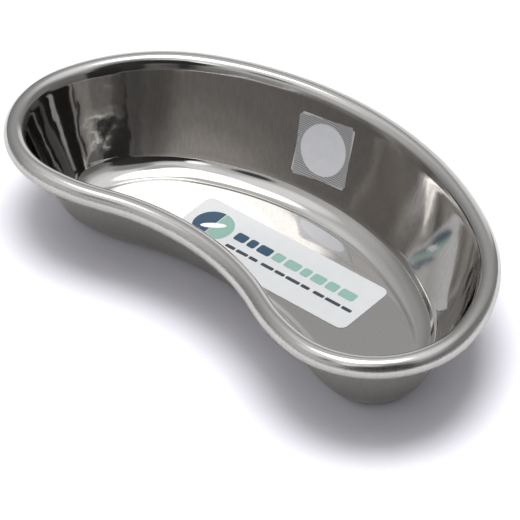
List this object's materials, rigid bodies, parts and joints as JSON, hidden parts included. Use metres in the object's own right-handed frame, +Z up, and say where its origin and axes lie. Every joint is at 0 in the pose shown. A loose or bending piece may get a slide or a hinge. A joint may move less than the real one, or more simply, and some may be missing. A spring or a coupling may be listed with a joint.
{
  "type": "kidney dish",
  "caption": "Kidney-shaped stainless steel dish with sloping walls, a rounded cove, a flat floor and a rolled rim, for holding instruments, swabs or fluid.",
  "frame": {"origin": "under the middle of the dish's box, on the surface that it stands on", "axes": "+X along the length, +Y towards the rounded back, -Y towards the hollow front, +Z up"},
  "size_m": [0.2, 0.1086, 0.0384],
  "materials": {
    "steel": "polished stainless steel, about 0.6 mm sheet",
    "label_adhesive": "clear acrylic adhesive",
    "label_face": "white film label, printed with plain bars and shapes",
    "seal_adhesive": "clear acrylic adhesive",
    "seal_foil": "satin silver foil with fine lines"
  },
  "bodies": {
    "root": {"basin": "steel", "label_adhesive": "label_adhesive", "label_face": "label_face", "seal_adhesive": "seal_adhesive", "seal_foil": "seal_foil"}
  },
  "joints": []
}
